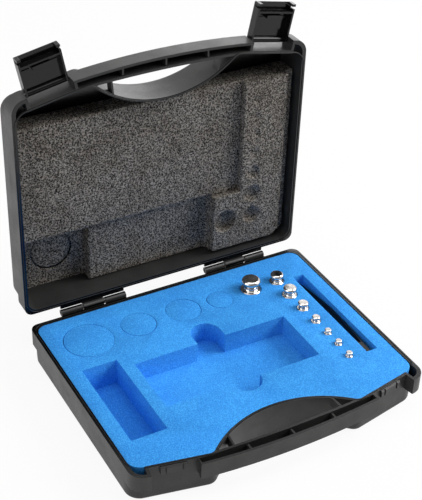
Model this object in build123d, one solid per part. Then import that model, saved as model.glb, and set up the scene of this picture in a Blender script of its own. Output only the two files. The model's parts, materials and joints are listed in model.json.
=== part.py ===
from build123d import *
import os
from math import atan, degrees, pi, sqrt

# Carrying case for a set of laboratory weights: two moulded shells on hinge pins, foam in both,
# two latches, eight knob weights and a pair of tweezers. Millimetres, +Z up, +X to the right of
# somebody who faces the handle, origin at the centre of the tray's underside.
# Both shells are drawn closed, and the lid with its latches is then swung open.

# Shells
case_width = 250.0
back_y = 102.0
bow_y = -101.5
bow_radius = 620.0
corner_radius = 12.0
skirt_corner_radius = 7.0
skirt_front_radius = 12.0
shell_height = 31.5
skirt_height = 14.0
skirt_step = 1.2
wall = 2.2
side_draft = 0.5
bottom_rounding = 3.8
rim_gap = 0.1
side_inset = skirt_step + wall

# Front of the body: a slanted wall behind each latch and an arc behind the handle
pocket_outer_x = 110.6
pocket_inner_x = 74.6
pocket_outer_y = -82.57
pocket_inner_y = -89.69
recess_radius = 87.0
recess_apex_y = -67.0
cusp_radius = 9.0
front_corner_radius = 14.0

# Handle bar, a channel with cross ribs
bar_inner_y = -90.7
bar_end_y = -88.9
bar_end_x = 62.0
bar_wall = 2.0
bar_rib_pitch = 36.0
bar_rib_thickness = 1.4
bar_rib_drop = 1.0
web_x = 46.0
web_lean = 2.5
web_thickness = 1.5
web_height = 8.0

# Tongue and groove of the rims
groove_from = 1.3
groove_width = 0.8
groove_depth = 0.7
tongue_clearance = 0.1
front_groove_from = 0.7

# Hinges
hinge_x = 66.4
hinge_length = 57.5
knuckle_gap = 1.0
knuckle_radius = 2.7
hinge_out = 5.9
hinge_below_rim = 0.95
hinge_pin_radius = 1.2
pin_fit = 0.02
pin_running = 0.06
hinge_web = 1.6
open_angle = 90.0

# Latches, in a frame along the slanted wall: u along it, n out of it, z up from the parting plane
latch_width = 34.0
latch_length = 31.0
latch_pivot_up = 11.4
latch_pivot_out = 5.3
latch_plate = 1.6
latch_edge_radius = 1.2
latch_face_out = 7.7
latch_flange = 1.5
latch_flange_in = 0.3
latch_barrel_radius = 2.4
latch_pin_radius = 1.0
latch_pin_seat = 1.7
latch_bar_share = 0.75
latch_bar_height = 1.4
hook_width = 14.0
hook_height = 2.6
hook_gap = 0.4
hook_overlap = 1.4
ear_width = 3.0
ear_height = 4.0
slot_rib_height = 0.9
slot_rib_rise = 0.8
slot_rib_width = 6.2
slot_rib_x = 11.0

# Catch of the tray behind each latch
catch_width = 20.0
catch_out = 2.0
catch_top = 0.6
catch_height = 6.4
catch_notch = 1.6
catch_notch_x = 6.4
catch_slope = 1.2

# Tray foam
foam_drop = 0.5
foam_clearance = 0.25
narrow_x = (-109.3, -80.1)
narrow_y = (-52.3, 33.8)
narrow_depth = 23.0
wide_x = (-69.9, 64.4)
wide_y = (-31.5, 22.7)
wide_depth = 17.9
notch_x = -2.3
notch_y = (-44.4, 44.0)
notch_width = 25.0
slot_x = (100.0, 109.7)
slot_y = (-45.4, 64.8)
slot_depth = 12.0
plug_depth = 24.0
plug_slit = 0.35
plugs = {
    "foam_plug_500g": (-89.6, 65.4, 20.3),
    "foam_plug_200g_a": (-45.4, 66.1, 14.8),
    "foam_plug_200g_b": (-4.6, 66.7, 14.8),
    "foam_plug_100g": (28.9, 65.6, 11.1),
}

# Weights: name, mass in grams, base, knob and neck diameters, neck fillet, place
weight_density = 0.00795
knob_share = 0.35
neck_share = 0.25
edge_share = 0.05
knob_rounding_share = 0.12
waist_share = 0.6
weight_clearance = 0.3
weights = {
    "weight_50g": (50.0, 18.0, 16.0, 10.0, 59.7, 67.6),
    "weight_20g_a": (20.0, 13.0, 11.5, 7.5, 85.2, 67.6),
    "weight_20g_b": (20.0, 13.0, 11.5, 7.5, 85.0, 46.3),
    "weight_10g": (10.0, 10.0, 9.0, 6.0, 85.0, 25.5),
    "weight_5g": (5.0, 8.0, 7.0, 4.5, 85.2, 6.0),
    "weight_2g_a": (2.0, 6.0, 5.5, 3.0, 85.3, -11.6),
    "weight_2g_b": (2.0, 6.0, 5.5, 3.0, 85.3, -26.9),
    "weight_1g": (1.0, 6.0, 5.5, 3.0, 84.6, -43.1),
}

# Tweezers, lying on edge in their slot
tweezers_length = 106.0
tweezers_height = 8.0
tweezers_tip_height = 2.6
tweezers_blade = 1.3
tweezers_bow = 2.6
tweezers_tip_gap = 0.5
tweezers_heel = 14.0
tweezers_heel_radius = 1.1
tweezers_bow_share = 0.45
tweezers_taper_share = 0.6
tweezers_tip_share = 0.7

# Lid foam, as depths behind the lid's rim plane
lid_foam_front_y = -60.2
lid_foam_back_y = 98.1
plateau_depth = 11.1
pad_depth = 4.6
middle_depth = 17.6
left_depth = 27.8
step_y = 41.7
left_pocket_x = -61.3
pad_left_x = 48.1
pad_inner_x = 73.1
pad_right_x = 113.0
pad_chamfer = 6.0
pad_back_y = 95.5
knob_room = 0.9
knob_recess_radius = 17.5

half_width = case_width / 2
parting_z = shell_height
lid_rim_z = shell_height + rim_gap
foam_top = parting_z - foam_drop
axis_y = back_y + hinge_out
axis_z = parting_z - hinge_below_rim
slope = (pocket_inner_y - pocket_outer_y) / (pocket_outer_x - pocket_inner_x)
slant_length = sqrt(1 + slope**2)
pocket_middle_x = (pocket_outer_x + pocket_inner_x) / 2
pocket_width = (pocket_outer_x - pocket_inner_x) * slant_length


def slant_y(x, inset=0.0):
    """Y of the slanted front wall at a distance x from the middle, moved inwards by inset."""
    return pocket_outer_y + slope * (pocket_outer_x - abs(x)) + inset * slant_length


def prism(face, low, high):
    return extrude(Pos(0, 0, low) * face, amount=high - low)


def box(x, y, z):
    """A block between two values on each axis."""
    size = (x[1] - x[0], y[1] - y[0], z[1] - z[0])
    middle = ((x[0] + x[1]) / 2, (y[0] + y[1]) / 2, (z[0] + z[1]) / 2)
    return Pos(*middle) * Box(*size)


def bore(x, y, radius, low, high):
    """A round bar along Z between two heights."""
    return Pos(x, y, (low + high) / 2) * Cylinder(radius, high - low)


def both_sides(shape):
    return shape + mirror(shape, about=Plane.YZ)


def bow_face(inset):
    """The whole outline of a shell with its bowed front, moved inwards by inset."""
    x = half_width - inset
    apex = bow_y + inset
    radius = bow_radius - inset
    y = apex + radius - sqrt(radius**2 - x**2)
    outline = make_face(
        [
            Line((-x, y), (-x, back_y - inset)),
            Line((-x, back_y - inset), (x, back_y - inset)),
            Line((x, back_y - inset), (x, y)),
            ThreePointArc((x, y), (0, apex), (-x, y)),
        ]
    )
    front = outline.vertices().sort_by(Axis.Y)[:2]
    outline = fillet(front, skirt_front_radius - inset)
    back = outline.vertices().sort_by(Axis.Y)[-2:]
    return fillet(back, skirt_corner_radius - inset)


def body_face(side, front):
    """The outline that holds the foam, with its sides and its front moved inwards."""
    x = half_width - side
    back = back_y - side
    radius = recess_radius + front
    centre = recess_apex_y - recess_radius
    start = slant_y(0, front) - centre
    a = 1 + slope**2
    b = start * slope
    cusp = (b + sqrt(b**2 - a * (start**2 - radius**2))) / a
    cusp_y = slant_y(cusp, front)
    corner_y = slant_y(x, front)
    outline = make_face(
        [
            Line((-x, corner_y), (-x, back)),
            Line((-x, back), (x, back)),
            Line((x, back), (x, corner_y)),
            Line((x, corner_y), (cusp, cusp_y)),
            ThreePointArc((cusp, cusp_y), (0, centre + radius), (-cusp, cusp_y)),
            Line((-cusp, cusp_y), (-x, corner_y)),
        ]
    )
    points = outline.vertices().sort_by(Axis.Y)
    outline = fillet(points[:2], cusp_radius - front)
    points = outline.vertices().filter_by(lambda v: abs(abs(v.X) - x) < 1e-6).sort_by(Axis.Y)
    outline = fillet(points[:2], front_corner_radius - side)
    points = outline.vertices().sort_by(Axis.Y)[-2:]
    return fillet(points, corner_radius - side)


def tub(side, front, floor, top, rounding):
    """A tapered body between floor and top, rounded at its floor."""
    draft = side_draft * (top - floor) / (shell_height - skirt_height)
    upper = Pos(0, 0, top) * body_face(side, front)
    lower = Pos(0, 0, floor) * body_face(side + draft, front + draft)
    solid = loft([lower, upper], ruled=True)
    return fillet(solid.edges().group_by(Axis.Z)[0], rounding)


def slant_place(side):
    """The middle of a slanted wall in plan, with x along it and -y out of it."""
    angle = side * degrees(atan(-slope))
    return Pos(side * pocket_middle_x, slant_y(pocket_middle_x)) * Rot(0, 0, angle)


def at_pocket(side):
    """The same place at the height of the parting plane."""
    return Pos(0, 0, parting_z) * slant_place(side)


def latch_pocket(margin=0.0):
    """The notch in the skirt in front of the left slanted wall, in plan, widened by a margin."""
    notch = Rectangle(pocket_width + 2 * margin, 2 * corner_radius, align=(Align.CENTER, Align.MAX))
    return slant_place(-1) * Pos(0, margin) * notch


def bar_edge(offset):
    """Everything in front of the handle bar's inner edge, moved forwards by offset."""
    x = pocket_inner_x
    sag = (bar_end_y - bar_inner_y) * (x / bar_end_x) ** 2
    y = bar_inner_y - offset
    return make_face(
        [
            ThreePointArc((-x, y + sag), (0, y), (x, y + sag)),
            Line((x, y + sag), (x, 2 * bow_y)),
            Line((x, 2 * bow_y), (-x, 2 * bow_y)),
            Line((-x, 2 * bow_y), (-x, y + sag)),
        ]
    )


def recess_circle(extra=0.0):
    return Pos(0, recess_apex_y - recess_radius) * Circle(recess_radius + extra)


def handle_channel(end_wall):
    """The hollow of the handle bar, open at the parting plane, with cross ribs left standing."""
    inside = bow_face(wall) & bar_edge(bar_wall)
    inside &= Rectangle(2 * pocket_middle_x, 4 * half_width)
    inside -= both_sides(latch_pocket(end_wall))
    hollow = prism(inside, shell_height - skirt_height + bar_wall, shell_height + 1)
    for x in (-bar_rib_pitch, 0, bar_rib_pitch):
        rib = box(
            (x - bar_rib_thickness / 2, x + bar_rib_thickness / 2),
            (bow_y, bar_inner_y + wall),
            (0, shell_height - bar_rib_drop),
        )
        hollow -= rib
    return hollow


def handle_web():
    """The leaning web that ties the bar to the body at the left end of the finger hole."""
    half = web_thickness / 2
    top = bar_inner_y - bar_wall / 2
    bottom = recess_apex_y
    face = make_face(
        Polyline(
            (-web_x - half, top),
            (-web_x + half, top),
            (-web_x + half + web_lean, bottom),
            (-web_x - half + web_lean, bottom),
            (-web_x - half, top),
        )
    )
    finger_hole = recess_circle(wall / 2) - bar_edge(bar_wall / 2)
    return prism(face & finger_hole, shell_height - web_height, shell_height)


def rim_ring(inner_clearance):
    """The ring that the groove or the tongue follows round the rim."""
    near = groove_from + inner_clearance
    far = groove_from + groove_width - inner_clearance
    shift = front_groove_from - groove_from
    return body_face(near, near + shift) - body_face(far, far + shift)


def shell(handle_end_wall):
    """A shell with its floor at zero and its rim at shell_height."""
    skirt_floor = shell_height - skirt_height
    outline = bow_face(0)
    outline -= both_sides(latch_pocket())
    outline -= recess_circle() - bar_edge(0)
    solid = prism(outline, skirt_floor, shell_height)
    solid += tub(skirt_step, 0, 0, skirt_floor, bottom_rounding)
    solid += both_sides(handle_web())
    solid -= tub(side_inset, wall, wall, skirt_floor, bottom_rounding - wall)
    solid -= prism(body_face(side_inset, wall), skirt_floor, shell_height + 1)
    post = bow_face(side_inset) - latch_pocket(wall)
    post &= Pos(-pocket_middle_x - half_width, slant_y(half_width)) * Rectangle(2 * half_width, 2 * corner_radius)
    solid -= both_sides(prism(post, skirt_floor + wall, shell_height + 1))
    solid -= handle_channel(handle_end_wall)
    return solid


def knuckles(own, toward):
    """Knuckles of the left hinge, numbered in own, with a web toward -1 the tray or 1 the lid."""
    pitch = (hinge_length + knuckle_gap) / 3
    length = pitch - knuckle_gap
    shape = None
    for i in own:
        x = -hinge_x + (i - 1) * pitch
        barrel = Pos(x, axis_y, axis_z) * Rot(0, 90, 0) * Cylinder(knuckle_radius, length)
        tip = axis_z + toward * knuckle_radius
        web = box(
            (x - length / 2, x + length / 2),
            (back_y - wall, axis_y),
            sorted((tip, tip - toward * hinge_web)),
        )
        piece = barrel + web
        shape = piece if shape is None else shape + piece
    return shape


def hinge_bore(clearance):
    length = hinge_length + 2 * knuckle_gap
    rod = Cylinder(hinge_pin_radius + clearance, length)
    return both_sides(Pos(-hinge_x, axis_y, axis_z) * Rot(0, 90, 0) * rod)


def catch():
    """The ledge that the latch's hook takes hold of, notched at its ends."""
    ledge = box(
        (-catch_width / 2, catch_width / 2),
        (-catch_out, wall / 2),
        (-catch_top - catch_height, -catch_top),
    )
    outer = ledge.edges().filter_by(Axis.X).group_by(Axis.Y)[0]
    ledge = chamfer(outer.sort_by(Axis.Z)[-1:], catch_slope)
    for side in (-1, 1):
        x = side * catch_notch_x
        ledge -= box(
            (x - catch_notch / 2, x + catch_notch / 2),
            (-catch_out, -catch_out / 2),
            (-catch_top - catch_height, -catch_top),
        )
    return ledge


def tray_shell():
    solid = shell(-wall) + both_sides(knuckles((0, 2), -1)) - hinge_bore(pin_fit)
    solid -= prism(rim_ring(0), shell_height - groove_depth, shell_height + 1)
    for side in (-1, 1):
        solid += at_pocket(side) * catch()
    return solid


def latch_pin_place(side):
    return at_pocket(side) * Pos(0, -latch_pivot_out, latch_pivot_up) * Rot(0, 90, 0)


def lid_shell():
    """The lid in its closed place."""
    solid = mirror(shell(wall), about=Plane.XY.offset(shell_height + rim_gap / 2))
    tongue_height = groove_depth + rim_gap - tongue_clearance
    tongue = prism(rim_ring(tongue_clearance), lid_rim_z - tongue_height, lid_rim_z + wall / 2)
    solid += tongue
    solid += both_sides(knuckles((1,), 1))
    solid -= hinge_bore(pin_running)
    for side in (-1, 1):
        bore = Cylinder(latch_pin_radius + pin_fit, pocket_width + 2 * latch_pin_seat)
        solid -= latch_pin_place(side) * bore
    return solid


def latch(side):
    """A latch in its closed place: plate, flanges, barrel, end bar, slotted rib and hook."""
    half = latch_width / 2
    bottom = latch_pivot_up - latch_length
    face = -latch_face_out
    inside = face + latch_plate
    plate = box((-half, half), (face, inside), (bottom, latch_pivot_up))
    outer = plate.edges().filter_by(Axis.X).group_by(Axis.Y)[0]
    solid = fillet(outer.sort_by(Axis.Z)[:1], latch_edge_radius)
    for end in (-1, 1):
        x = sorted((end * half, end * (half - latch_flange)))
        flange = box(x, (inside, -latch_flange_in), (bottom + ear_height, latch_pivot_up))
        solid += flange
        x = sorted((end * half, end * (half - ear_width)))
        solid += box(x, (inside, -latch_flange_in), (bottom, bottom + ear_height / 2))
    barrel = Pos(0, -latch_pivot_out, latch_pivot_up) * Rot(0, 90, 0)
    solid += barrel * Cylinder(latch_barrel_radius, latch_width)
    bar_z = latch_pivot_up - latch_bar_share * latch_length
    solid += box((-half, half), (inside, -latch_flange_in), (bar_z - latch_bar_height, bar_z))
    hook_top = -catch_top - catch_height - hook_gap
    hook_in = -catch_out + hook_overlap
    hook_z = (hook_top - hook_height, hook_top)
    solid += box((-hook_width / 2, hook_width / 2), (inside, hook_in), hook_z)
    rib_z = hook_top + slot_rib_height
    for x in (-slot_rib_x, slot_rib_x):
        solid += box(
            (x - slot_rib_width / 2, x + slot_rib_width / 2),
            (inside, inside + slot_rib_rise),
            (rib_z - slot_rib_height, rib_z),
        )
    solid -= barrel * Cylinder(latch_pin_radius + pin_running, latch_width * 2)
    return at_pocket(side) * solid


def latch_pin(side):
    length = pocket_width + 2 * latch_pin_seat
    return latch_pin_place(side) * Cylinder(latch_pin_radius, length)


def base_height(mass, base, knob, neck):
    """Height of a weight's base, from what is left of its volume below the knob and neck."""
    knob_volume = pi * knob**2 / 4 * knob_share * knob
    neck_volume = pi * neck**2 / 4 * neck_share * base
    return (mass / 1000 / weight_density * 1000 - knob_volume - neck_volume) / (pi * base**2 / 4)


def weight(name):
    """A turned weight with a rounded base, a waisted neck and a knob, seated in the foam."""
    mass, base, knob, neck, x, y = weights[name]
    height = base_height(mass, base, knob, neck)
    neck_top = height + neck_share * base
    top = neck_top + knob_share * knob
    edge = base * edge_share
    soft = knob / 2 - knob * knob_rounding_share
    waist = (neck_top - height) / 2
    flare = neck / 2 + waist * waist_share
    profile = make_face(
        [
            Line((0, 0), (base / 2 - edge, 0)),
            Line((base / 2 - edge, 0), (base / 2, edge)),
            Line((base / 2, edge), (base / 2, height - edge)),
            Line((base / 2, height - edge), (base / 2 - edge, height)),
            Line((base / 2 - edge, height), (flare, height)),
            ThreePointArc((flare, height), (neck / 2, height + waist), (flare, neck_top)),
            Line((flare, neck_top), (soft, neck_top)),
            ThreePointArc((soft, neck_top), (knob / 2, (neck_top + top) / 2), (soft, top)),
            Line((soft, top), (0, top)),
            Line((0, top), (0, 0)),
        ]
    )
    turned = revolve(Plane.XZ * profile, Axis.Z)
    return Pos(x, y, foam_top - height) * turned


def weight_hole(name):
    mass, base, knob, neck, x, y = weights[name]
    floor = foam_top - base_height(mass, base, knob, neck)
    return bore(x, y, base / 2 + weight_clearance, floor, shell_height)


def foam_insert():
    """The tray's foam with its recesses, notch, slot, weight holes and die-cut circles."""
    skirt_floor = shell_height - skirt_height
    side = side_inset + foam_clearance
    front = wall + foam_clearance
    solid = tub(side, front, wall, skirt_floor, bottom_rounding - wall)
    solid += prism(body_face(side, front), skirt_floor, foam_top)
    above = shell_height
    solid -= box(narrow_x, narrow_y, (foam_top - narrow_depth, above))
    solid -= box(wide_x, wide_y, (foam_top - wide_depth, above))
    notch = SlotOverall(notch_y[1] - notch_y[0], notch_width, rotation=90)
    place = Pos(notch_x, (notch_y[0] + notch_y[1]) / 2)
    solid -= prism(place * notch, foam_top - wide_depth, above)
    solid -= box(slot_x, slot_y, (foam_top - slot_depth, above))
    for name in weights:
        solid -= weight_hole(name)
    for x, y, radius in plugs.values():
        solid -= bore(x, y, radius, foam_top - plug_depth, above)
    return solid


def foam_plug(name):
    x, y, radius = plugs[name]
    return bore(x, y, radius - plug_slit, foam_top - plug_depth, foam_top)


def tweezer_arm(side):
    """One blade, bowed outwards, tapering in height towards its tip."""
    gap = tweezers_tip_gap / 2
    far = tweezers_length
    widest = far * tweezers_bow_share
    tip = gap + tweezers_blade * tweezers_tip_share
    outer = tweezers_bow + tweezers_blade
    path = make_face(
        [
            ThreePointArc((0, 0), (side * tweezers_bow, widest), (side * gap, far)),
            Line((side * gap, far), (side * tip, far)),
            ThreePointArc((side * tip, far), (side * outer, widest), (side * tweezers_blade, 0)),
            Line((side * tweezers_blade, 0), (0, 0)),
        ]
    )
    taper = far * tweezers_taper_share
    low = tweezers_tip_height
    side_view = Plane.YZ * make_face(
        Polyline(
            (0, -tweezers_height / 2),
            (0, tweezers_height / 2),
            (taper, tweezers_height / 2),
            (far, low / 2),
            (far, -low / 2),
            (taper, -tweezers_height / 2),
            (0, -tweezers_height / 2),
        )
    )
    wide = tweezers_bow + 2 * tweezers_blade
    blade = prism(path, -tweezers_height, tweezers_height)
    return blade & extrude(side_view, amount=wide, both=True)


def tweezers():
    heel = box(
        (-tweezers_blade, tweezers_blade),
        (-tweezers_blade, tweezers_heel),
        (-tweezers_height / 2, tweezers_height / 2),
    )
    heel = fillet(heel.edges().filter_by(Axis.Z).group_by(Axis.Y)[0], tweezers_heel_radius)
    solid = heel + tweezer_arm(1) + tweezer_arm(-1)
    x = (slot_x[0] + slot_x[1]) / 2
    y = (slot_y[0] + slot_y[1] - tweezers_length) / 2
    z = foam_top - slot_depth + tweezers_height / 2
    return Pos(x, y, z) * solid


def lid_space(low, high):
    """The room for foam inside the lid, between two depths behind its rim plane."""
    skirt_floor = shell_height - skirt_height
    side = side_inset + foam_clearance
    front = wall + foam_clearance
    solid = tub(side, front, wall, skirt_floor, bottom_rounding - wall)
    solid += prism(body_face(side, front), skirt_floor, shell_height)
    solid = mirror(solid, about=Plane.XY.offset(shell_height + rim_gap / 2))
    room = box(
        (-half_width, half_width),
        (lid_foam_front_y, lid_foam_back_y),
        (lid_rim_z + low, lid_rim_z + high),
    )
    return solid & room


def lid_foam():
    """The stepped foam of the lid: a plateau, a middle pocket and a deep left pocket."""
    solid = lid_space(plateau_depth, shell_height - wall)
    y = (step_y, back_y)
    solid -= box((left_pocket_x, pad_left_x), y, (lid_rim_z, lid_rim_z + middle_depth))
    solid -= box((-half_width, left_pocket_x), y, (lid_rim_z, lid_rim_z + left_depth))
    x, y, _ = plugs["foam_plug_500g"]
    solid -= bore(x, y, knob_recess_radius, lid_rim_z, lid_rim_z + shell_height)
    return solid


def lid_foam_pad():
    """The raised pad over the weights, an L with round pockets for the taller knobs."""
    front = lid_foam_front_y
    outline = make_face(
        Polyline(
            (pad_left_x, pad_back_y),
            (pad_right_x - pad_chamfer, pad_back_y),
            (pad_right_x, pad_back_y - pad_chamfer),
            (pad_right_x, front),
            (pad_inner_x, front),
            (pad_inner_x, step_y),
            (pad_left_x, step_y),
            (pad_left_x, pad_back_y),
        )
    )
    solid = prism(outline, lid_rim_z + pad_depth, lid_rim_z + plateau_depth)
    for _, base, knob, _, x, y in weights.values():
        top = foam_top + neck_share * base + knob_share * knob
        if top + knob_room / 2 > lid_rim_z + pad_depth:
            solid -= bore(x, y, base / 2 + knob_room, lid_rim_z, top + knob_room)
    return solid


def hinge_pin(side):
    length = hinge_length - knuckle_gap
    rod = Pos(side * hinge_x, axis_y, axis_z) * Rot(0, 90, 0) * Cylinder(hinge_pin_radius, length)
    return rod


def swung_open(shape):
    """Turns a piece of the lid from its closed place about the hinge."""
    return Pos(0, axis_y, axis_z) * Rot(-open_angle, 0, 0) * Pos(0, -axis_y, -axis_z) * shape


def latch_open(shape, side):
    """Turns a latch from hanging down to standing straight out, about its own pin."""
    place = at_pocket(side) * Pos(0, -latch_pivot_out, latch_pivot_up)
    return place * Rot(-open_angle, 0, 0) * place.inverse() * shape


def build():
    nodes = {"tray_shell": tray_shell(), "foam_insert": foam_insert()}
    for name in plugs:
        nodes[name] = foam_plug(name)
    nodes["lid_shell"] = swung_open(lid_shell())
    nodes["lid_foam"] = swung_open(lid_foam())
    nodes["lid_foam_pad"] = swung_open(lid_foam_pad())
    for side, word in ((-1, "left"), (1, "right")):
        nodes[f"hinge_pin_{word}"] = hinge_pin(side)
        nodes[f"latch_{word}"] = swung_open(latch_open(latch(side), side))
        nodes[f"latch_pin_{word}"] = swung_open(latch_pin(side))
    for name in weights:
        nodes[name] = weight(name)
    nodes["tweezers"] = tweezers()
    return nodes


os.makedirs("parts", exist_ok=True)
for name, shape in build().items():
    export_step(shape, f"parts/{name}.step")
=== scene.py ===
import bmesh
import bpy
import json
import math
from mathutils import Matrix, Vector, noise


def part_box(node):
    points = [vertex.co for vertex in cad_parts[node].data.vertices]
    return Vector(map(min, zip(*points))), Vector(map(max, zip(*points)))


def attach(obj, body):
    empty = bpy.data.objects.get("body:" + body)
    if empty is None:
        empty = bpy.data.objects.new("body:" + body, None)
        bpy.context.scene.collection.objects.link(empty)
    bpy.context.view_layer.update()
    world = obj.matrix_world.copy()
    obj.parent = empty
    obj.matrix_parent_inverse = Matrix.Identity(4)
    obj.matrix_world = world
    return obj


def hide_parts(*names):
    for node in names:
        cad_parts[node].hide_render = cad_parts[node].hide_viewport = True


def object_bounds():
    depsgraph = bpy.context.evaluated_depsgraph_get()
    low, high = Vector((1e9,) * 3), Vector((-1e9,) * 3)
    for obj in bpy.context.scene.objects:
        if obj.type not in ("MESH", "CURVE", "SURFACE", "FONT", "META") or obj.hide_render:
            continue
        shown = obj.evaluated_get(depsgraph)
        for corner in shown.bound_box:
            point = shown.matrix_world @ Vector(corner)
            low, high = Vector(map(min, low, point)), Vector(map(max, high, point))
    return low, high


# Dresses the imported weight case: moulded shells and latches, cut foam in the tray and the lid,
# turned steel weights and a pair of tweezers. Metres, in the frame's own axes; angles in degrees.

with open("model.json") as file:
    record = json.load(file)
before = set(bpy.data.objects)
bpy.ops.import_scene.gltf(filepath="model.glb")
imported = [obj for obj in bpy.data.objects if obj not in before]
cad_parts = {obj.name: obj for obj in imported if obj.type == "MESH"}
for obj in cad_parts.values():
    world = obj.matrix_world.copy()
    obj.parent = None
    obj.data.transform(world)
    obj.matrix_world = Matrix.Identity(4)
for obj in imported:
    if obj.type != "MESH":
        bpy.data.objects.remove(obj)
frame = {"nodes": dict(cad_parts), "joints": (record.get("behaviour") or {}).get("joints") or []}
cad_low, cad_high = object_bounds()
MM = 0.001

# Camera: place, then the turns about Z, X and Z again that aim it
CAMERA_PLACE = (-0.38761, -0.63902, 0.65016)
CAMERA_PAN = -29.9805
CAMERA_TILT = 55.1676
CAMERA_ROLL = 2.0835
CAMERA_LENS = 89.133

# Cut foam
TRAY_FOAM_EDGE = 0.35 * MM
PLUG_EDGE = 0.2 * MM
PLUG_SHIFT = 0.22 * MM
LID_FOAM_VOXEL = 1.15 * MM
LID_FOAM_PIT = 0.42 * MM
LID_FOAM_CELL = 1.5 * MM
DENT_MARGIN = 0.5 * MM
DENT_DEPTH = 1.2 * MM
CIRCLE_RADIUS = 17.3 * MM
CIRCLE_SKIN = 0.7 * MM
CIRCLE_RINGS = 14
CIRCLE_STEPS = 56

# Cover strips along the hinges: how far each reaches from the hinge axis, and its thickness
BARREL_REACH = 2.85 * MM
FLANGE_BACK = 1.15 * MM
FLANGE_PLATE = 1.5 * MM
BED_REACH = 6.2 * MM
SHELL_WALL = 2.6 * MM
STRIP_EDGE = 0.25 * MM
STRIP_SMOOTH = 40
FOAM_SMOOTH = 40

# Meshes: points closer than WELD are one, and edges flatter than FLAT are taken out
WELD = 0.01 * MM
CIRCLE_WELD = 0.05 * MM
FLAT = 0.5
SHARP = 35

# Share of the walls' roughness that the polished parting faces keep
POLISH = 0.45

# Studio: the air's light on the object, and how far the open front darkens what gloss mirrors
AIR_LIGHT = 0.14
FRONT_DARK = (-0.45, 0.05)
AIR_DARK = (-0.75, -0.3)
FRONT_GLOSS = 0.12
FLOOR_SHARE = 0.93
FLOOR_HALF = 4

# Softboxes: place, side and power
SOFTBOXES = {
    "overhead": ((0.1, 0.1, 1.5), 1.1, 8),
    "right_key": ((1.5, -0.45, 1.2), 1.1, 38),
    "left_fill": ((-1.5, -0.15, 0.6), 1.1, 6.5),
    "back_window": ((1.2, 1.5, 0.65), 1.0, 7),
}


def new_tree(name, is_group=False):
    """An empty node tree: a group's own, or a new material's."""
    if is_group:
        return bpy.data.node_groups.new(name, "ShaderNodeTree")
    material = bpy.data.materials.new(name)
    material.use_nodes = True
    material.node_tree.nodes.clear()
    return material.node_tree


def add(tree, kind, inputs=(), **settings):
    """Adds a node, sets its options, and fills its inputs with numbers or other nodes' outputs."""
    made = tree.nodes.new(kind)
    for name, value in settings.items():
        setattr(made, name, value)
    for key, value in dict(inputs).items():
        if isinstance(value, bpy.types.NodeSocket):
            tree.links.new(value, made.inputs[key])
        else:
            made.inputs[key].default_value = value
    return made


def group_socket(tree, name, way, kind="NodeSocketFloat", value=None):
    made = tree.interface.new_socket(name=name, in_out=way, socket_type=kind)
    if value is not None:
        made.default_value = value


def srgb(red, green, blue):
    """The linear colour of an 8-bit screen colour."""
    def straight(value):
        value /= 255
        return value / 12.92 if value <= 0.04045 else ((value + 0.055) / 1.055) ** 2.4
    return (straight(red), straight(green), straight(blue), 1)


def grain_group():
    """Fine moulded grain over soft-edged corners: a mask, and the normal that goes with it."""
    tree = new_tree("moulded_grain", is_group=True)
    group_socket(tree, "Grain Scale", "INPUT", value=2600)
    group_socket(tree, "Grain Height", "INPUT", value=0.00003)
    group_socket(tree, "Edge Radius", "INPUT", value=0.0003)
    group_socket(tree, "Parting Normal", "INPUT", "NodeSocketVector")
    group_socket(tree, "Mask", "OUTPUT")
    group_socket(tree, "Parting Mask", "OUTPUT")
    group_socket(tree, "Normal", "OUTPUT", "NodeSocketVector")
    given = tree.nodes.new("NodeGroupInput").outputs
    coordinates = add(tree, "ShaderNodeTexCoord")
    place = coordinates.outputs["Object"]
    facing = add(
        tree,
        "ShaderNodeVectorMath",
        {0: coordinates.outputs["Normal"], 1: given["Parting Normal"]},
        operation="DOT_PRODUCT",
    )
    parting = ranged(tree, facing.outputs["Value"], 0.85, 0.95, 0, 1)
    fine = add(tree, "ShaderNodeTexNoise", {"Vector": place, "Scale": given["Grain Scale"], "Detail": 2})
    broad = add(tree, "ShaderNodeTexNoise", {"Vector": place, "Scale": 60, "Detail": 3})
    inputs = {0: fine.outputs["Fac"], 1: broad.outputs["Fac"]}
    mask = add(tree, "ShaderNodeMath", inputs, operation="MULTIPLY")
    soft = add(tree, "ShaderNodeBevel", {"Radius": given["Edge Radius"]}, samples=6)
    bump = add(
        tree,
        "ShaderNodeBump",
        {
            "Height": fine.outputs["Fac"],
            "Distance": given["Grain Height"],
            "Normal": soft.outputs["Normal"],
        },
    )
    end = add(tree, "NodeGroupOutput")
    tree.links.new(mask.outputs[0], end.inputs["Mask"])
    tree.links.new(parting, end.inputs["Parting Mask"])
    tree.links.new(bump.outputs["Normal"], end.inputs["Normal"])
    return tree


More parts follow.
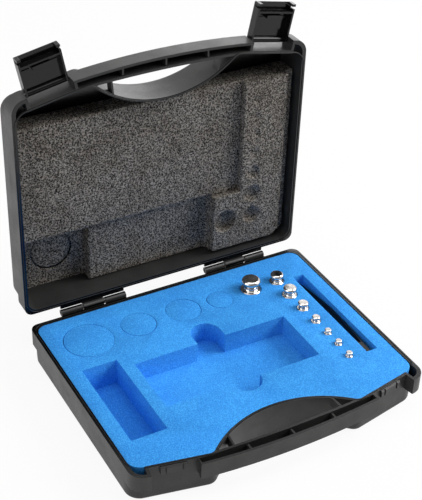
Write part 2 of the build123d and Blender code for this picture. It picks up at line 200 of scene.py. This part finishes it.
def cell_group():
    """Foam cells: a mask that is dark in the pores and light on the struts, and its normal."""
    tree = new_tree("foam_cells", is_group=True)
    group_socket(tree, "Cell Scale", "INPUT", value=900)
    group_socket(tree, "Pore Height", "INPUT", value=0.0001)
    group_socket(tree, "Mask", "OUTPUT")
    group_socket(tree, "Broad Mask", "OUTPUT")
    group_socket(tree, "Normal", "OUTPUT", "NodeSocketVector")
    given = tree.nodes.new("NodeGroupInput").outputs
    place = add(tree, "ShaderNodeTexCoord").outputs["Object"]
    cells = add(tree, "ShaderNodeTexVoronoi", {"Vector": place, "Scale": given["Cell Scale"]})
    grain = add(tree, "ShaderNodeTexNoise", {"Vector": place, "Scale": given["Cell Scale"], "Detail": 1})
    mask = add(
        tree,
        "ShaderNodeMath",
        {0: cells.outputs["Distance"], 1: grain.outputs["Fac"]},
        operation="MULTIPLY",
    )
    broad = add(tree, "ShaderNodeTexNoise", {"Vector": place, "Scale": 45, "Detail": 4})
    bump = add(tree, "ShaderNodeBump", {"Height": mask.outputs[0], "Distance": given["Pore Height"]})
    end = add(tree, "NodeGroupOutput")
    tree.links.new(mask.outputs[0], end.inputs["Mask"])
    tree.links.new(broad.outputs["Fac"], end.inputs["Broad Mask"])
    tree.links.new(bump.outputs["Normal"], end.inputs["Normal"])
    return tree


def blended(tree, mask, low, high, dark, light):
    """A colour that goes from dark to light as the mask goes from low to high."""
    ramp = add(tree, "ShaderNodeValToRGB", {"Fac": mask})
    ramp.color_ramp.elements[0].position = low
    ramp.color_ramp.elements[0].color = dark
    ramp.color_ramp.elements[1].position = high
    ramp.color_ramp.elements[1].color = light
    return ramp.outputs["Color"]


def ranged(tree, mask, low, high, start, end):
    """A number that goes from start to end as the mask goes from low to high."""
    inputs = {"Value": mask, "From Min": low, "From Max": high, "To Min": start, "To Max": end}
    return add(tree, "ShaderNodeMapRange", inputs).outputs["Result"]


def shader(tree, inputs):
    surface = add(tree, "ShaderNodeBsdfPrincipled", inputs)
    add(tree, "ShaderNodeOutputMaterial", {"Surface": surface.outputs["BSDF"]})


def moulded_plastic(
    name, dark, light, rough, grain_scale, grain_height, edge_radius, specular, parting=(0, 0, 1)
):
    """A moulded plastic: grained walls, and faces that look along parting are polished and painted
    near-black as painted shade.
    """
    tree = new_tree(name)
    grain = add(tree, "ShaderNodeGroup", node_tree=GRAIN)
    grain.inputs["Parting Normal"].default_value = parting
    grain.inputs["Grain Scale"].default_value = grain_scale
    grain.inputs["Grain Height"].default_value = grain_height
    grain.inputs["Edge Radius"].default_value = edge_radius
    mask = grain.outputs["Mask"]
    walls = blended(tree, mask, 0.1, 0.42, dark, light)
    # Painted shade: faces that look along parting take a near-black colour that stands in for the shadow
    # in the rim's grooves and gaps
    skin = add(tree, "ShaderNodeMix", data_type="RGBA")
    tree.links.new(grain.outputs["Parting Mask"], skin.inputs[0])
    tree.links.new(walls, skin.inputs[6])
    skin.inputs[7].default_value = PAINTED_SHADE_BLACK
    grained = ranged(tree, mask, 0.1, 0.42, rough[0], rough[1])
    polish = ranged(tree, grain.outputs["Parting Mask"], 0, 1, 1, POLISH)
    gloss = add(tree, "ShaderNodeMath", {0: grained, 1: polish}, operation="MULTIPLY")
    shader(
        tree,
        {
            "Base Color": skin.outputs[2],
            "Roughness": gloss.outputs[0],
            "Specular IOR Level": specular,
            "Normal": grain.outputs["Normal"],
        },
    )
    return bpy.data.materials[name]


def cut_foam(name, pore, strut, tint, cell_scale, pore_height, low, high):
    """Foam with pores and struts, and a broad tint that shifts its colour a little."""
    tree = new_tree(name)
    cells = add(tree, "ShaderNodeGroup", node_tree=CELLS)
    cells.inputs["Cell Scale"].default_value = cell_scale
    cells.inputs["Pore Height"].default_value = pore_height
    speckle = blended(tree, cells.outputs["Mask"], low, high, pore, strut)
    broad = ranged(tree, cells.outputs["Broad Mask"], 0.35, 0.65, 0, 0.5)
    mixed = add(tree, "ShaderNodeMix", data_type="RGBA", blend_type="MULTIPLY")
    tree.links.new(broad, mixed.inputs[0])
    tree.links.new(speckle, mixed.inputs[6])
    mixed.inputs[7].default_value = tint
    shader(
        tree,
        {
            "Base Color": mixed.outputs[2],
            "Roughness": 0.95,
            "Specular IOR Level": 0.15,
            "Normal": cells.outputs["Normal"],
        },
    )
    return bpy.data.materials[name]


def turned_steel(name):
    """Polished steel with fine turning rings round each weight's own axis."""
    tree = new_tree(name)
    place = add(tree, "ShaderNodeTexCoord").outputs["Generated"]
    centred = add(tree, "ShaderNodeVectorMath", {0: place, 1: (0.5, 0.5, 0)}, operation="SUBTRACT")
    flat = add(tree, "ShaderNodeVectorMath", {0: centred.outputs[0], 1: (1, 1, 0)}, operation="MULTIPLY")
    radius = add(tree, "ShaderNodeVectorMath", {0: flat.outputs[0]}, operation="LENGTH")
    wave = add(tree, "ShaderNodeMath", {0: radius.outputs["Value"], 1: 260}, operation="MULTIPLY")
    rings = add(tree, "ShaderNodeMath", {0: wave.outputs[0]}, operation="SINE")
    smudge = add(tree, "ShaderNodeTexNoise", {"Vector": place, "Scale": 3, "Detail": 3})
    bump = add(tree, "ShaderNodeBump", {"Height": rings.outputs[0], "Distance": 0.000002})
    shader(
        tree,
        {
            "Base Color": blended(
                tree, smudge.outputs["Fac"], 0.3, 0.7, srgb(198, 194, 190), srgb(226, 223, 219)
            ),
            "Metallic": 1,
            "Roughness": ranged(tree, smudge.outputs["Fac"], 0.3, 0.7, 0.1, 0.2),
            "Normal": bump.outputs["Normal"],
        },
    )
    return bpy.data.materials[name]


def background_rays(tree, mirrored):
    """1 for camera and transmission rays, mirrored for glossy rays, and 0 for all others."""
    seen = add(tree, "ShaderNodeLightPath").outputs
    gloss = add(tree, "ShaderNodeMath", {0: seen["Is Glossy Ray"], 1: mirrored}, operation="MULTIPLY")
    inputs = {0: seen["Is Camera Ray"], 1: gloss.outputs[0]}
    first = add(tree, "ShaderNodeMath", inputs, operation="MAXIMUM")
    inputs = {0: first.outputs[0], 1: seen["Is Transmission Ray"]}
    return add(tree, "ShaderNodeMath", inputs, operation="MAXIMUM").outputs[0]


def floor_finish():
    """A white floor that still takes the case's shadow."""
    tree = new_tree("studio_floor")
    place = add(tree, "ShaderNodeTexCoord").outputs["Object"]
    depth = add(tree, "ShaderNodeSeparateXYZ", {"Vector": place}).outputs["Y"]
    mirrored = ranged(tree, depth, FRONT_DARK[0], FRONT_DARK[1], FRONT_GLOSS, 1)
    seen = background_rays(tree, mirrored)
    share = add(tree, "ShaderNodeMath", {0: seen, 1: FLOOR_SHARE}, operation="MULTIPLY")
    paper = add(tree, "ShaderNodeBsdfDiffuse", {"Color": srgb(236, 236, 236)})
    white = add(tree, "ShaderNodeEmission", {"Color": (1, 1, 1, 1), "Strength": 1})
    mixed = add(
        tree,
        "ShaderNodeMixShader",
        {0: share.outputs[0], 1: paper.outputs["BSDF"], 2: white.outputs["Emission"]},
    )
    add(tree, "ShaderNodeOutputMaterial", {"Surface": mixed.outputs["Shader"]})
    return bpy.data.materials["studio_floor"]


# Painted shade: the near-black colour that parting faces are given in place of the shadow in the rim's
# grooves
PAINTED_SHADE_BLACK = srgb(8, 8, 8)
GRAIN = grain_group()
CELLS = cell_group()

tray_plastic = moulded_plastic(
    "tray_plastic", srgb(30, 30, 30), srgb(52, 52, 51), (0.5, 0.38), 1500, 0.00006, 0.00015, 0.5
)
lid_plastic = moulded_plastic(
    "lid_plastic", srgb(30, 30, 30), srgb(52, 52, 51), (0.5, 0.38), 1500, 0.00006, 0.00015, 0.5, (0, -1, 0)
)
latch_plastic = moulded_plastic(
    "latch_plastic", srgb(7, 7, 7), srgb(17, 17, 17), (0.3, 0.2), 2200, 0.00002, 0.00015, 0.35, (0, -1, 0)
)
tweezer_plastic = moulded_plastic(
    "tweezer_plastic", srgb(16, 12, 11), srgb(44, 32, 27), (0.42, 0.28), 1800, 0.00002, 0.00015, 0.5
)
blue_foam = cut_foam(
    "blue_foam", srgb(42, 128, 216), srgb(74, 172, 247), srgb(214, 228, 242), 1100, 0.00006, 0.05, 0.4
)
grey_foam = cut_foam(
    "grey_foam", srgb(5, 5, 5), srgb(158, 152, 144), srgb(190, 180, 170), 760, 0.0003, 0.1, 0.42
)
weight_steel = turned_steel("weight_steel")
pin_steel = turned_steel("pin_steel")


def finish_nodes(material, *names):
    for name in names:
        for slot in frame["nodes"][name].material_slots:
            slot.material = material


HINGE = Vector(next(joint for joint in frame["joints"] if joint["name"] == "lid_hinge")["pos_m"])
weight_names = [name for name in frame["nodes"] if name.startswith("weight_")]
plug_names = [name for name in frame["nodes"] if name.startswith("foam_plug_")]
finish_nodes(tray_plastic, "tray_shell")
finish_nodes(lid_plastic, "lid_shell")
finish_nodes(latch_plastic, "latch_left", "latch_right")
finish_nodes(weight_steel, *weight_names)
finish_nodes(tweezer_plastic, "tweezers")
finish_nodes(pin_steel, "hinge_pin_left", "hinge_pin_right", "latch_pin_left", "latch_pin_right")


def copy_of(node, name, material):
    """A free copy of a node's mesh, welded, to be worked on as a piece of its own."""
    mesh = frame["nodes"][node].data.copy()
    mesh.name = name
    work = bmesh.new()
    work.from_mesh(mesh)
    bmesh.ops.remove_doubles(work, verts=work.verts, dist=WELD)
    bmesh.ops.dissolve_limit(
        work, angle_limit=math.radians(FLAT), verts=work.verts, edges=work.edges, delimit=set()
    )
    work.to_mesh(mesh)
    work.free()
    mesh.materials.clear()
    mesh.materials.append(material)
    piece = bpy.data.objects.new(name, mesh)
    bpy.context.scene.collection.objects.link(piece)
    return piece


def settle(piece):
    """Applies a piece's modifiers to its mesh."""
    shown = piece.evaluated_get(bpy.context.evaluated_depsgraph_get())
    made = bpy.data.meshes.new_from_object(shown)
    piece.modifiers.clear()
    piece.data = made


def soften_edges(piece, radius, segments=2):
    bevel = piece.modifiers.new("cut_edge", "BEVEL")
    bevel.width = radius
    bevel.segments = segments
    bevel.limit_method = "ANGLE"
    bevel.angle_limit = math.radians(SHARP)
    bevel.use_clamp_overlap = True
    settle(piece)


def smooth_by_angle(piece, degrees):
    piece.data.shade_smooth()
    piece.data.set_sharp_from_angle(angle=math.radians(degrees))


def tray_foam():
    """The cut insert and the four circles that are die-cut but left in."""
    insert = copy_of("foam_insert", "tray_foam", blue_foam)
    soften_edges(insert, TRAY_FOAM_EDGE)
    smooth_by_angle(insert, FOAM_SMOOTH)
    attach(insert, "tray")
    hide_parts("foam_insert")
    for count, node in enumerate(sorted(plug_names)):
        plug = copy_of(node, node.replace("foam_plug", "cut_circle"), blue_foam)
        turn = count * 1.9
        shift = Vector((math.cos(turn), math.sin(turn), 0)) * PLUG_SHIFT
        plug.data.transform(Matrix.Translation(shift))
        soften_edges(plug, PLUG_EDGE)
        smooth_by_angle(plug, FOAM_SMOOTH)
        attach(plug, "tray")
        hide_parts(node)


def facing_circle(node):
    """Where a weight or plug meets the open lid: the middle's X and Z, and its radius."""
    low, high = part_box(node)
    return (low.x + high.x) / 2, HINGE.z + HINGE.y - (low.y + high.y) / 2, (high.x - low.x) / 2


def knob_dent(place, circles):
    """How far the knobs have pressed a point of the lid's foam back, in metres."""
    for x, z, radius in circles:
        reach = radius + DENT_MARGIN
        away = math.hypot(place.x - x, place.z - z)
        if away < reach:
            return DENT_DEPTH * min(1, 4 * (1 - away / reach))
    return 0


def open_cell_foam(node, name):
    """Soft open-cell foam: its cut edges round off and its skin is pitted cell by cell."""
    piece = copy_of(node, name, grey_foam)
    voxels = piece.modifiers.new("cells", "REMESH")
    voxels.mode = "VOXEL"
    voxels.voxel_size = LID_FOAM_VOXEL
    voxels.use_smooth_shade = True
    settle(piece)
    circles = [facing_circle(weight) for weight in weight_names]
    skin = [(vertex.co.copy(), vertex.normal.copy()) for vertex in piece.data.vertices]
    for vertex, (place, outwards) in zip(piece.data.vertices, skin):
        pit = noise.noise(place / LID_FOAM_CELL) + 0.5 * noise.noise(place / (3 * LID_FOAM_CELL))
        vertex.co = place + outwards * (pit - 0.5) * LID_FOAM_PIT
        if outwards.y < -0.7:
            vertex.co.y += knob_dent(place, circles)
    piece.data.shade_smooth()
    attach(piece, "lid")
    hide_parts(node)
    return piece


def circle_floor():
    """The thin skin of foam that is left at the bottom of the largest knob's circle."""
    x, z, _ = facing_circle("foam_plug_500g")
    middle = Vector((x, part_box("lid_foam")[1].y, z))
    work = bmesh.new()
    rows = []
    for ring in range(CIRCLE_RINGS + 1):
        radius = CIRCLE_RADIUS * ring / CIRCLE_RINGS
        row = []
        for step in range(CIRCLE_STEPS):
            turn = 2 * math.pi * step / CIRCLE_STEPS
            place = middle + Vector((math.cos(turn), 0, math.sin(turn))) * radius
            sag = 1 - (ring / CIRCLE_RINGS) ** 6
            place.y -= CIRCLE_SKIN * sag * (1 + 0.5 * noise.noise(place / LID_FOAM_CELL))
            row.append(work.verts.new(place))
        rows.append(row)
    for inner, outer in zip(rows, rows[1:]):
        for step in range(CIRCLE_STEPS):
            after = (step + 1) % CIRCLE_STEPS
            work.faces.new((inner[step], outer[step], outer[after], inner[after]))
    work.faces.new(rows[-1])
    bmesh.ops.remove_doubles(work, verts=work.verts, dist=CIRCLE_WELD)
    bmesh.ops.recalc_face_normals(work, faces=work.faces)
    mesh = bpy.data.meshes.new("lid_foam_circle")
    work.to_mesh(mesh)
    work.free()
    mesh.materials.append(grey_foam)
    mesh.shade_smooth()
    piece = bpy.data.objects.new("lid_foam_circle", mesh)
    bpy.context.scene.collection.objects.link(piece)
    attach(piece, "lid")


def strip(name, body, material, low, high):
    """A box between two corners with rounded edges: a plain cover strip, no moulded form."""
    work = bmesh.new()
    bmesh.ops.create_cube(work, size=1)
    size = Vector(high) - Vector(low)
    bmesh.ops.scale(work, vec=size, verts=work.verts)
    bmesh.ops.translate(work, vec=(Vector(low) + Vector(high)) / 2, verts=work.verts)
    bmesh.ops.bevel(work, geom=work.edges, offset=STRIP_EDGE, segments=3, affect="EDGES", profile=0.5)
    mesh = bpy.data.meshes.new(name)
    work.to_mesh(mesh)
    work.free()
    mesh.materials.append(material)
    piece = bpy.data.objects.new(name, mesh)
    bpy.context.scene.collection.objects.link(piece)
    smooth_by_angle(piece, STRIP_SMOOTH)
    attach(piece, body)


def hinge_trim(side):
    """Strips over the gap between the shells and the knuckles, which the solids leave open."""
    low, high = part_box(f"hinge_pin_{side}")
    lid_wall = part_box("lid_foam")[0].z - SHELL_WALL
    strip(
        f"hinge_flange_{side}",
        "lid",
        lid_plastic,
        (low.x, HINGE.y + FLANGE_BACK, HINGE.z + BARREL_REACH),
        (high.x, HINGE.y + FLANGE_BACK + FLANGE_PLATE, lid_wall),
    )
    third = (high.x - low.x) / 3
    strip(
        f"hinge_bed_{side}",
        "tray",
        tray_plastic,
        (low.x + third, HINGE.y - BED_REACH, HINGE.z - BARREL_REACH - FLANGE_PLATE),
        (high.x - third, HINGE.y, HINGE.z - BARREL_REACH),
    )


def studio():
    """White floor, camera, and soft light from overhead, right, left and behind."""
    half = FLOOR_HALF
    corners = [(-half, -half, 0), (half, -half, 0), (half, half, 0), (-half, half, 0)]
    mesh = bpy.data.meshes.new("floor")
    mesh.from_pydata(corners, [], [(0, 1, 2, 3)])
    mesh.materials.append(floor_finish())
    floor = bpy.data.objects.new("floor", mesh)
    bpy.context.scene.collection.objects.link(floor)

    camera = bpy.data.objects.new("camera", bpy.data.cameras.new("camera"))
    bpy.context.scene.collection.objects.link(camera)
    aim = Matrix.Rotation(math.radians(CAMERA_PAN), 4, "Z")
    aim @= Matrix.Rotation(math.radians(CAMERA_TILT), 4, "X")
    aim @= Matrix.Rotation(math.radians(CAMERA_ROLL), 4, "Z")
    camera.location = CAMERA_PLACE
    camera.rotation_euler = aim.to_euler()
    camera.data.lens = CAMERA_LENS
    camera.data.sensor_width = 36
    camera.data.clip_start = 0.01
    bpy.context.scene.camera = camera

    middle = (cad_low + cad_high) / 2
    for name, (place, side, power) in SOFTBOXES.items():
        lamp = bpy.data.lights.new(name, "AREA")
        lamp.size = side
        lamp.energy = power
        softbox = bpy.data.objects.new(name, lamp)
        softbox.location = place
        softbox.rotation_euler = (middle - Vector(place)).to_track_quat("-Z", "Y").to_euler()
        bpy.context.scene.collection.objects.link(softbox)

    world = bpy.data.worlds.new("studio_air")
    world.use_nodes = True
    tree = world.node_tree
    tree.nodes.clear()
    way = add(tree, "ShaderNodeTexCoord").outputs["Generated"]
    depth = add(tree, "ShaderNodeSeparateXYZ", {"Vector": way}).outputs["Y"]
    mirrored = ranged(tree, depth, AIR_DARK[0], AIR_DARK[1], FRONT_GLOSS, 1)
    strength = ranged(tree, background_rays(tree, mirrored), 0, 1, AIR_LIGHT, 1)
    air = add(tree, "ShaderNodeBackground", {"Color": (1, 1, 1, 1), "Strength": strength})
    add(tree, "ShaderNodeOutputWorld", {"Surface": air.outputs["Background"]})
    bpy.context.scene.world = world
    bpy.context.scene.view_settings.view_transform = "Standard"


tray_foam()
open_cell_foam("lid_foam", "lid_foam_block")
open_cell_foam("lid_foam_pad", "lid_foam_raised")
circle_floor()
hinge_trim("left")
hinge_trim("right")
studio()
